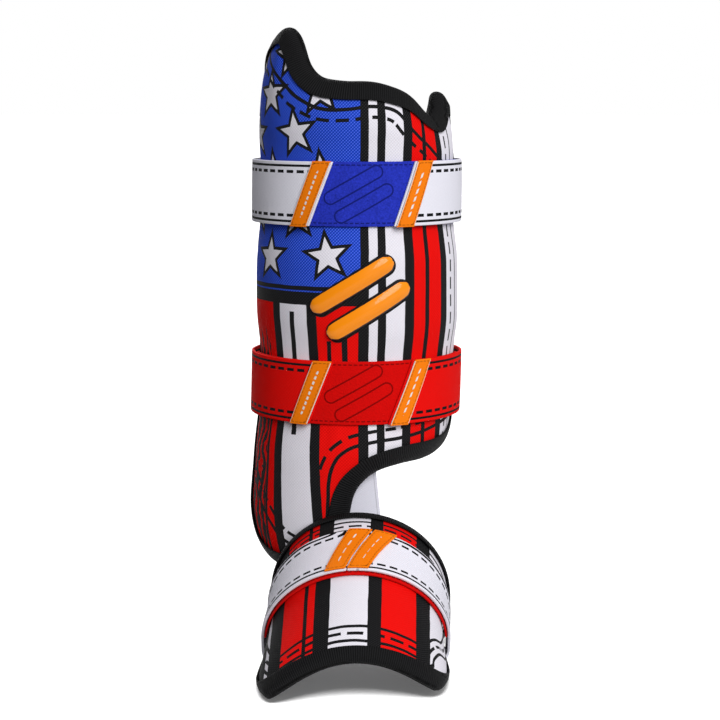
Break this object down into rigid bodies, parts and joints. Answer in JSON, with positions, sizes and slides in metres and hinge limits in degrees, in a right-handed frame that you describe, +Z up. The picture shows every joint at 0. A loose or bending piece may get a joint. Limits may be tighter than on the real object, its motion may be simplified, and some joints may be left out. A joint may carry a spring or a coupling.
{
  "type": "leg guard",
  "caption": "Batter's shin and foot guard: padded half-round shell and arched foot piece in a stars-and-stripes print, taped edges, elastic straps with pull tabs and a raised badge.",
  "frame": {"origin": "on the axis of the wearer's leg, midway between the two calf straps", "axes": "+Z up along the leg, -Y towards the toes, +X to the right seen from the front"},
  "size_m": [0.1321, 0.225, 0.3728],
  "materials": {
    "shin_print": "printed woven nylon cover, stars and stripes",
    "foot_print": "printed woven nylon cover, stripes",
    "edge_tape": "ribbed black grosgrain",
    "white_elastic": "white knitted elastic with printed black lines",
    "red_elastic": "red knitted elastic with printed black lines",
    "blue_loop": "brushed blue loop fabric",
    "red_loop": "brushed red loop fabric",
    "orange_label": "woven orange label with stitched border",
    "badge": "domed glossy orange"
  },
  "bodies": {
    "root": {"shin_pad": "shin_print", "shin_binding": "edge_tape", "upper_patch": "blue_loop", "upper_strap": "white_elastic", "upper_tab_left": "orange_label", "upper_tab_right": "orange_label", "lower_patch": "red_loop", "lower_strap": "red_elastic", "lower_tab_left": "orange_label", "lower_tab_right": "orange_label", "badge_bar_upper": "badge", "badge_bar_lower": "badge", "foot_pad": "foot_print", "foot_binding": "edge_tape", "foot_patch": "red_loop", "foot_strap": "white_elastic", "foot_tab_left": "orange_label", "foot_tab_right": "orange_label", "connector_strap": "white_elastic"}
  },
  "joints": []
}
